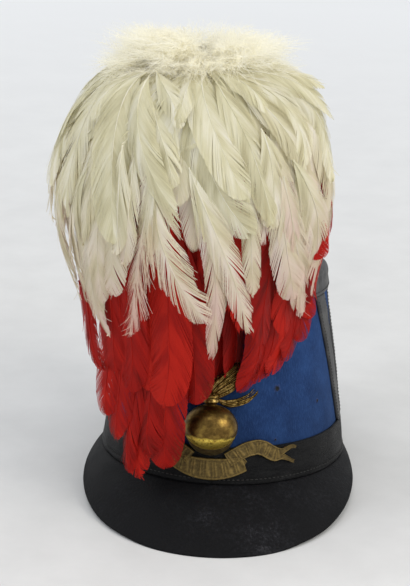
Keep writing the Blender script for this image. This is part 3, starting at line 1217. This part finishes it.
# A closed nest of shorter feathers behind them fills the plume right round: root, tip and layer of a ring.
RED_NEST = [
    (0.3, 0.62, 0.62),
    (0.3, 0.66, 0.7),
    (0.32, 0.6, 0.78),
]
NEST_COUNT = 16
reds = Plumage(41)
for ring, (start, end, layer) in enumerate(RED_NEST):
    for k in range(NEST_COUNT):
        azimuth = 360 / NEST_COUNT * k + 11 * ring + reds.rng.uniform(-5, 5)
        behind = abs((azimuth + 180) % 360 - 180)
        shorter = 0.1 * np.clip((behind - 70) / 60, 0, 1)
        tip = end - shorter + reds.rng.uniform(-0.03, 0.03)
        turns = (azimuth, azimuth + reds.rng.uniform(-4, 4), azimuth + reds.rng.uniform(-8, 8))
        falls = (start, (start + tip) / 2, tip)
        width = reds.rng.uniform(24, 32)
        feather(reds, turns, falls, (layer, layer), width, 1.8, 0.2, barb=2.4, quill_tone=0.5)
for turns, falls, layers, width, blunt, loose, room in RED_FRONT:
    feather(reds, turns, falls, layers, width, blunt, loose, room=room, barb=0.7, quill_tone=0.7, facing=0.8)
red_piece = reds.piece("red_feathers_vanes", red_vane)
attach(red_piece, "root")
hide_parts("red_feathers")

# White feathers
# Undyed cock feathers in three tiers, each tied over the one below, with down at their roots. They have
# yellowed with age, and the lower ones are stained pink by the red dye.

# Undyed feather: silky cream barbs, translucent, yellower in the depths and pink towards stained tips.
white_vane, tree = new_finish("undyed cock feather")
lie = add_node(tree, "Attribute", attribute_name="lie").outputs["Vector"]
note = add_node(tree, "Attribute", attribute_name="stain").outputs["Vector"]
stain = add_node(tree, "SeparateXYZ", {0: note})
fine_lie = add_node(tree, "VectorMath", {0: lie, 1: (1.0, 0.07, 1.0)}, operation="MULTIPLY").outputs[0]
# Streaks follow bundles of barbs 0.8 mm apart, and age has yellowed patches of 18 mm.
streaks = add_node(tree, "TexNoise", {"Vector": fine_lie, "Scale": 1 / 0.8, "Detail": 3.0, "Roughness": 0.7})
bands = add_node(tree, "TexNoise", {"Vector": lie, "Scale": 1 / 18, "Detail": 3.0})
mixed = add_node(tree, "Math", {0: streaks.outputs["Fac"], 1: 0.35, 2: bands.outputs["Fac"]},
                 operation="MULTIPLY_ADD").outputs[0]
toned = add_node(tree, "Math", {0: stain.outputs[2], 1: 0.14, 2: mixed}, operation="MULTIPLY_ADD").outputs[0]
cream = add_node(tree, "ValToRGB", {"Fac": toned},
                 stops=[(0.5, "#cdc6a3"), (0.68, "#e4dfc0"), (0.84, "#f1edd8"), (1.0, "#f9f6ea")])
# The stain deepens from the root to the tip, and is stronger in some patches.
tipward = add_node(tree, "MapRange", {
    "Value": stain.outputs[0], "From Min": 0.1, "From Max": 0.95,
}).outputs[0]
pinker = add_node(tree, "Math", {0: stain.outputs[1], 1: tipward}, operation="MULTIPLY").outputs[0]
patches = add_node(tree, "MapRange", {
    "Value": bands.outputs["Fac"], "From Min": 0.3, "From Max": 0.65, "To Min": 0.55, "To Max": 1.15,
}).outputs[0]
patchy = add_node(tree, "Math", {0: pinker, 1: patches}, operation="MULTIPLY").outputs[0]
pink = add_node(tree, "Mix", {0: patchy, 6: cream.outputs[0], 7: linear("#e3bfb4")},
                data_type="RGBA").outputs[2]
ridges = add_node(tree, "Bump", {"Height": streaks.outputs["Fac"], "Strength": 0.28, "Distance": 0.0004})
face = add_node(tree, "BsdfPrincipled", {
    "Base Color": pink, "Roughness": 0.6, "Normal": ridges.outputs[0],
    "Sheen Weight": 0.08, "Sheen Roughness": 0.4, "Specular IOR Level": 0.2,
})
through_it = add_node(tree, "BsdfTranslucent", {"Color": pink, "Normal": ridges.outputs[0]})
vane = add_node(tree, "MixShader", {0: 0.4, 1: face.outputs[0], 2: through_it.outputs[0]})
add_node(tree, "OutputMaterial", {"Surface": vane.outputs[0]})

# Lower tier at the front: turns, falls, layers, width, bluntness, looseness, stain.
WHITE_LOW = [
    ((46, 56, 79), (0.37, 0.515, 0.652), (0.955, 0.98), 27, 3.0, 0.35, 0.65),
    ((42, 50, 62), (0.37, 0.511, 0.611), (0.95, 0.965), 26, 3.0, 0.3, 0.6),
    ((55, 68, 86), (0.36, 0.499, 0.621), (0.965, 1.0), 25, 2.4, 0.35, 0.6),
    ((52, 67, 73), (0.34, 0.481, 0.565), (0.975, 1.02), 24, 2.4, 0.3, 0.5),
    ((-47, -55, -56), (0.37, 0.519, 0.625), (0.95, 0.965), 21, 2.0, 0.3, 0.3),
    ((-38, -42, -47), (0.37, 0.523, 0.651), (0.945, 0.96), 20, 2.0, 0.3, 0.3),
    ((-28, -29, -32), (0.37, 0.510, 0.593), (0.95, 0.965), 21, 2.2, 0.25, 0.3),
    ((47, 58, 90), (0.36, 0.527, 0.67), (0.94, 0.96), 23, 3.0, 0.45, 0.6),
    ((4, 16, 14), (0.40, 0.539, 0.688), (0.93, 0.95), 17, 1.0, 0.3, 0.8),
    ((59, 63, 81), (0.28, 0.411, 0.526), (0.95, 0.97), 17, 1.6, 0.35, 0.6),
    ((-41, -49, -40), (0.34, 0.551, 0.674), (0.94, 0.96), 13, 1.8, 0.2, 0.45),
    ((-13, -17, -26), (0.36, 0.523, 0.656), (0.94, 0.97), 27, 2.0, 0.95, 0.9),
    ((27, 31, 34), (0.36, 0.498, 0.58), (0.95, 0.965), 14, 2.0, 0.25, 0.3),
    ((2, 20, 35), (0.34, 0.515, 0.646), (0.95, 0.97), 21, 1.4, 0.35, 0.35),
    ((-14, -5, 13), (0.33, 0.504, 0.619), (0.955, 0.98), 27, 3.0, 0.5, 0.3),
    ((-56, -70, -64), (0.30, 0.529, 0.63), (0.95, 0.97), 14, 1.2, 0.3, 0.2),
    ((41, 47, 54), (0.28, 0.407, 0.515), (0.95, 0.97), 19, 1.6, 0.3, 0.6),
    ((-36, -36, -38), (0.33, 0.498, 0.607), (0.955, 0.975), 14, 2.4, 0.15, 0.35),
    ((-24, -21, -24), (0.33, 0.46, 0.535), (0.955, 0.975), 14, 2.4, 0.3, 0.3),
    ((-30, -26, -28), (0.31, 0.444, 0.515), (0.965, 0.98), 17, 2.4, 0.2, 0.1),
    ((37, 40, 38), (0.26, 0.382, 0.465), (0.965, 0.985), 19, 5.0, 0.25, 0.1),
    ((-46, -54, -56), (0.30, 0.47, 0.57), (0.95, 0.97), 17, 1.8, 0.25, 0.3),
]
# Upper tiers at the front, laid over the lower one.
WHITE_HIGH = [
    ((-11, -8, -6), (0.08, 0.22, 0.405), (0.95, 0.965), 20, 1.6, 0.3, 0.0),
    ((-36, -12, -4), (0.13, 0.285, 0.385), (0.965, 0.975), 18, 1.4, 0.3, 0.0),
    ((3, 11, 30), (0.15, 0.343, 0.471), (0.975, 0.99), 31, 2.4, 0.25, 0.0),
    ((15, 30, 38), (0.12, 0.304, 0.455), (0.975, 0.99), 24, 2.2, 0.25, 0.0),
    ((27, 51, 60), (0.11, 0.274, 0.40), (0.975, 0.99), 23, 1.6, 0.3, 0.1),
    ((-68, -61, -55), (0.14, 0.297, 0.473), (0.98, 0.99), 20, 1.6, 0.25, 0.0),
    ((-56, -41, -44), (0.13, 0.33, 0.52), (0.975, 0.985), 19, 1.6, 0.25, 0.1),
    ((-48, -34, -27), (0.13, 0.323, 0.50), (0.98, 0.99), 26, 2.6, 0.15, 0.0),
    ((37, 84, 78), (0.10, 0.26, 0.417), (0.99, 1.03), 17, 1.6, 0.2, 0.0),
    ((18, 56, 57), (0.07, 0.188, 0.365), (0.99, 1.0), 24, 1.6, 0.25, 0.0),
    ((31, 73, 92), (0.06, 0.17, 0.30), (0.99, 1.10), 18, 1.2, 0.2, 0.0),
    ((22, 68, 90), (0.05, 0.13, 0.235), (1.0, 1.13), 17, 1.2, 0.25, 0.0),
    ((-70, -90, -75), (0.12, 0.30, 0.455), (0.99, 1.0), 23, 1.6, 0.2, 0.0),
    ((-38, -22, -1), (0.13, 0.292, 0.425), (0.995, 1.01), 23, 1.0, 0.15, 0.0),
    ((1, 12, 26), (0.06, 0.257, 0.402), (0.995, 1.01), 29, 2.4, 0.12, 0.0),
    ((1, 31, 40), (0.05, 0.12, 0.23), (1.01, 1.02), 20, 1.4, 0.35, 0.0),
    ((-4, -5, -4), (0.06, 0.156, 0.25), (1.0, 1.01), 18, 1.4, 0.35, 0.0),
    ((-36, -14, -4), (0.11, 0.179, 0.26), (1.0, 1.01), 18, 1.4, 0.3, 0.0),
    ((-46, -55, -50), (0.11, 0.185, 0.275), (1.0, 1.02), 20, 1.4, 0.35, 0.0),
]
# The rest of each tier, right round: how many, start, root, tip, layer, width, stain.
WHITE_ROUND = [
    (24, 5, 0.22, 0.50, 0.90, 26, 0.3),
    (22, 0, 0.14, 0.42, 0.925, 26, 0.1),
    (20, 9, 0.05, 0.30, 0.945, 26, 0.0),
]
# Behind, where the front's own feathers don't lie: how many, root, tip, layer, width, stain.
WHITE_BEHIND = [
    (13, 0.26, 0.60, 0.955, 25, 0.35),
    (12, 0.16, 0.52, 0.975, 27, 0.2),
    (12, 0.06, 0.42, 0.99, 27, 0.0),
    (10, 0.03, 0.26, 1.01, 24, 0.0),
]


def white_shortening(azimuth):
    """How much shorter the white feathers are at the sides and the back."""
    behind = np.abs((azimuth + 180) % 360 - 180)
    return 0.12 * np.clip((behind - 80) / 70, 0, 1) + 0.05 * np.sin(np.radians(azimuth))


low_whites = Plumage(52)
for count, start, root, tip, layer, width, blush in WHITE_ROUND:
    for k in range(count):
        azimuth = 360 * k / count + start + low_whites.rng.uniform(-4, 4)
        end = tip - white_shortening(azimuth) + low_whites.rng.uniform(-0.03, 0.03)
        drift = low_whites.rng.uniform(-9, 9)
        turns = (azimuth, azimuth + drift * 0.4, azimuth + drift)
        falls = (root, (root + end) / 2, end)
        wide = width * low_whites.rng.uniform(0.85, 1.15)
        feather(low_whites, turns, falls, (layer, layer + 0.01), wide, 1.8, 0.25, blush, barb=1.6)
for turns, falls, layers, width, blunt, loose, blush in WHITE_LOW:
    feather(low_whites, turns, falls, layers, width, blunt, loose, blush, barb=0.7, facing=0.6)
low_piece = low_whites.piece("white_feathers_lower", white_vane)
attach(low_piece, "root")
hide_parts("white_feathers")

high_whites = Plumage(63)
for count, root, tip, layer, width, blush in WHITE_BEHIND:
    for k in range(count):
        azimuth = 84 + 192 * (k + 0.5) / count + high_whites.rng.uniform(-5, 5)
        end = tip - white_shortening(azimuth) + high_whites.rng.uniform(-0.035, 0.035)
        drift = high_whites.rng.uniform(-14, 14)
        turns = (azimuth, azimuth + drift * 0.3, azimuth + drift)
        falls = (root, (root + end) * 0.52, end)
        wide = width * high_whites.rng.uniform(0.8, 1.15)
        blunt = high_whites.rng.uniform(1.2, 2.6)
        loose = high_whites.rng.uniform(0.1, 0.35)
        feather(high_whites, turns, falls, (layer, layer + 0.015), wide, blunt, loose, blush)
for turns, falls, layers, width, blunt, loose, blush in WHITE_HIGH:
    feather(high_whites, turns, falls, layers, width, blunt, loose, blush, barb=0.7, facing=0.6)
high_piece = high_whites.piece("white_feathers_upper", white_vane)
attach(high_piece, "root")
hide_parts("white_feathers")

# White down
# Loose down at the roots of the white feathers. It stands up in tufts at the top of the plume and hides
# where the feathers are tied.

# Down: whiter than the vanes, and so fine that light passes through it. Barbs are 0.3 mm wide at the root.
down_barbs, tree = new_finish("white down")
# A faint glow stands for light that passes on between the barbs more often than the render follows it.
fluff = add_node(tree, "BsdfPrincipled", {
    "Base Color": linear("#f8f5e6"), "Roughness": 0.9, "Specular IOR Level": 0.1,
    "Emission Color": linear("#fff9ea"), "Emission Strength": 0.05,
})
through_it = add_node(tree, "BsdfTranslucent", {"Color": linear("#fdfbf2")})
soft = add_node(tree, "MixShader", {0: 0.5, 1: fluff.outputs[0], 2: through_it.outputs[0]})
add_node(tree, "OutputMaterial", {"Surface": soft.outputs[0]})

# Tufts: how many plumules, azimuth and its spread, along and its spread, size, how far they stand up, layer.
TUFTS = [
    (96, 0, 180, 0.0, 0.02, 18, 0.5, 0.98),
    (90, -58, 42, 0.035, 0.025, 25, 1.0, 0.98),
    (56, 66, 34, 0.05, 0.028, 25, 0.95, 0.98),
    (34, -80, 26, 0.08, 0.03, 20, 0.5, 0.98),
    (50, 180, 110, 0.08, 0.04, 15, 0.1, 0.98),
    (50, 180, 90, 0.05, 0.04, 20, 0.6, 0.98),
    (50, -6, 40, 0.045, 0.025, 14, 0.25, 1.01),
    (56, -16, 46, 0.036, 0.022, 16, 0.35, 0.9),
    (50, 0, 180, 0.0, 0.006, 15, 0.8, 0.4),
    (36, 0, 180, 0.0, 0.002, 15, 1.1, 0.12),
    (30, 0, 180, 0.0, 0.002, 15, 1.1, 0.25),
]
HIGHEST_DOWN = 313
DOWN_EASE = 7.5
BARB_PAIRS = 24


def plumule(flock, foot, heading, droop, size):
    """A tuft of down: fine curled barbs on both sides of a thin drooping shaft."""
    rng = flock.rng
    side = np.cross(heading, rng.normal(0, 1, 3))
    side /= np.linalg.norm(side)
    barbs, steps = 2 * BARB_PAIRS, 4
    place = np.tile(np.linspace(0.08, 1, BARB_PAIRS), 2)[:, None]
    hand = np.repeat([-1.0, 1.0], BARB_PAIRS)[:, None]
    spine = foot + size * (0.75 * place * heading + 0.4 * place ** 2 * droop)
    toward = 0.62 * hand * side + 0.7 * heading + rng.normal(0, 0.24, (barbs, 3))
    length = 0.58 * size * np.sin(math.pi * (0.2 + 0.7 * place)) * rng.uniform(0.6, 1.3, (barbs, 1))
    curl = 0.5 * droop + rng.normal(0, 0.55, (barbs, 3))
    share = np.linspace(0, 1, steps)[None, :, None]
    path = spine[:, None] + length[:, None] * (share * toward[:, None] + 0.5 * share ** 2 * curl[:, None])
    above = np.maximum(path[..., 2] - HIGHEST_DOWN, 0)
    path[..., 2] += DOWN_EASE * np.tanh(above / DOWN_EASE) - above
    across = np.cross(toward, rng.normal(0, 1, (barbs, 3)))
    across /= np.linalg.norm(across, axis=1, keepdims=True)
    thick = across[:, None] * (0.15 - 0.1 * share)
    points = np.stack([path - thick, path + thick], axis=1)
    first = np.arange(barbs)[:, None] * 2 * steps
    step = np.arange(steps - 1)[None, :]
    along, beside = first + step, first + steps + step
    quads = np.stack([along, along + 1, beside + 1, beside], axis=-1)
    spot = np.broadcast_to(rng.uniform(0, 500, (barbs, 1, 1, 3)), points.shape)
    stain = np.broadcast_to(np.array([0.0, 0.0, rng.uniform(0.4, 1.6)]), points.shape)
    flock.add(points, quads, spot, stain)


down = Plumage(74)
for count, azimuth, wide, along, deep, size, stand, layer in TUFTS:
    for _ in range(count):
        turn = azimuth + wide * down.rng.uniform(-1, 1)
        root = max(0.004, along + deep * down.rng.uniform(-1, 1))
        foot = on_fall(np.array(turn), np.array(root), layer)
        above, below = on_fall(np.full(2, turn), np.array([root, root + 0.05]), 0.98)
        fallen = (below - above) / np.linalg.norm(below - above)
        outward = foot - (plume_top - np.array([0, 0, 60]))
        outward /= np.linalg.norm(outward)
        heading = fallen * (1.1 - stand) + outward * stand + down.rng.normal(0, 0.35, 3)
        heading /= np.linalg.norm(heading)
        droop = fallen + down.rng.normal(0, 0.3, 3)
        plumule(down, foot, heading, droop, size * down.rng.uniform(0.7, 1.25))
down_piece = down.piece("white_down", down_barbs)
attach(down_piece, "root")

# Floor
# A wide sheet of pale matt paper under the hat, which runs off out of sight on all sides. It isn't part of
# the hat.

FLOOR_RINGS = [0.0, 200, 500, 1200, 3000, 9000]

# Matt paper: almost white, paler far off, with a faint tooth that shows as clouds 60 mm wide.
paper, tree = new_finish("matt background paper")
place = add_node(tree, "TexCoord").outputs["Object"]
away = add_node(tree, "VectorMath", {0: place}, operation="LENGTH").outputs[1]
sweep = add_node(tree, "MapRange", {"Value": away, "From Min": 0.35, "From Max": 1.5}).outputs[0]
tooth = add_node(tree, "TexNoise", {"Vector": place, "Scale": 1000 / 60, "Detail": 5.0, "Roughness": 0.6})
near = add_node(tree, "ValToRGB", {"Fac": tooth.outputs["Fac"]}, stops=[(0.3, "#d1d1d0"), (0.7, "#dadad9")])
pale = add_node(tree, "Mix", {0: sweep, 6: near.outputs[0], 7: linear("#f4f5f6")},
                data_type="RGBA").outputs[2]
sheet = add_node(tree, "BsdfPrincipled", {"Base Color": pale, "Roughness": 0.9, "Specular IOR Level": 0.1})
add_node(tree, "OutputMaterial", {"Surface": sheet.outputs[0]})

sides = 64
turn = np.linspace(0, 2 * math.pi, sides, endpoint=False)[None, :]
radius = np.array(FLOOR_RINGS)[:, None]
x, y, z = np.broadcast_arrays(radius * np.cos(turn), radius * np.sin(turn), -0.05)
faces = grid_faces(len(FLOOR_RINGS), sides, False, True)
floor = make_mesh("floor", np.stack([x, y, z], axis=-1), faces, paper)
floor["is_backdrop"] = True

# Light
# Two large soft windows, one at the wearer's left that gleams on the ball and one at the right, with a
# wide soft ceiling and a pale room round them.


def softbox(name, direction, distance, size, power, colour):
    """A square area light that shines on the middle of the hat."""
    lamp = bpy.data.lights.new(name, "AREA")
    lamp.size = size
    lamp.energy = power
    lamp.color = linear(colour)[:3]
    holder = bpy.data.objects.new(name, lamp)
    bpy.context.scene.collection.objects.link(holder)
    aim = Vector(direction).normalized()
    holder.location = Vector((0, 0, 0.15)) + aim * distance
    holder.rotation_mode = "QUATERNION"
    holder.rotation_quaternion = aim.to_track_quat("Z", "Y")


softbox("window", (0.76, -0.51, 0.52), 1.6, 0.8, 9.5, "#fffaf2")
softbox("fill", (-0.74, -0.45, 0.62), 1.8, 0.6, 5, "#f2f5ff")
softbox("ceiling", (-0.15, -0.25, 1.0), 2.6, 2.0, 15, "#ffffff")

world = bpy.data.worlds.new("pale room")
world.use_nodes = True
world.node_tree.nodes["Background"].inputs["Color"].default_value = linear("#e8eaec")
world.node_tree.nodes["Background"].inputs["Strength"].default_value = 0.95
bpy.context.scene.world = world

# Camera
# It stands in front of the hat, a little to the wearer's left and above, and leans a little, as in the
# photograph.

CAMERA_YAW = math.radians(3.168)
CAMERA_HEIGHT = math.radians(19.802)
CAMERA_ROLL = math.radians(2.118)
CAMERA_DISTANCE = 1.4
FOCAL_LENGTH = 86.03

back = Vector((
    math.sin(CAMERA_YAW) * math.cos(CAMERA_HEIGHT),
    -math.cos(CAMERA_YAW) * math.cos(CAMERA_HEIGHT),
    math.sin(CAMERA_HEIGHT),
))
right = (-back).cross(Vector((0, 0, 1))).normalized()
above = right.cross(-back)
rolled_right = right * math.cos(CAMERA_ROLL) + above * math.sin(CAMERA_ROLL)
rolled_up = above * math.cos(CAMERA_ROLL) - right * math.sin(CAMERA_ROLL)
lens = bpy.data.cameras.new("camera")
lens.sensor_fit = "VERTICAL"
lens.sensor_height = 24
lens.lens = FOCAL_LENGTH
lens.shift_x = -0.0380
lens.shift_y = -0.0231
lens.clip_end = 50
camera = bpy.data.objects.new("camera", lens)
bpy.context.scene.collection.objects.link(camera)
target = Vector((hat_x / 1000, hat_y / 1000 - 0.020, 0.140))
camera.location = target + back * CAMERA_DISTANCE
turned = np.array([rolled_right, rolled_up, back]).T
camera.rotation_mode = "QUATERNION"
camera.rotation_quaternion = Matrix(turned.tolist()).to_quaternion()
bpy.context.scene.camera = camera

# Plain tones, without a film curve, as the photograph has them.
bpy.context.scene.view_settings.view_transform = "Standard"

size = {"cad": [list(corner) for corner in cad_box], "visual": [list(corner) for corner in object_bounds()]}
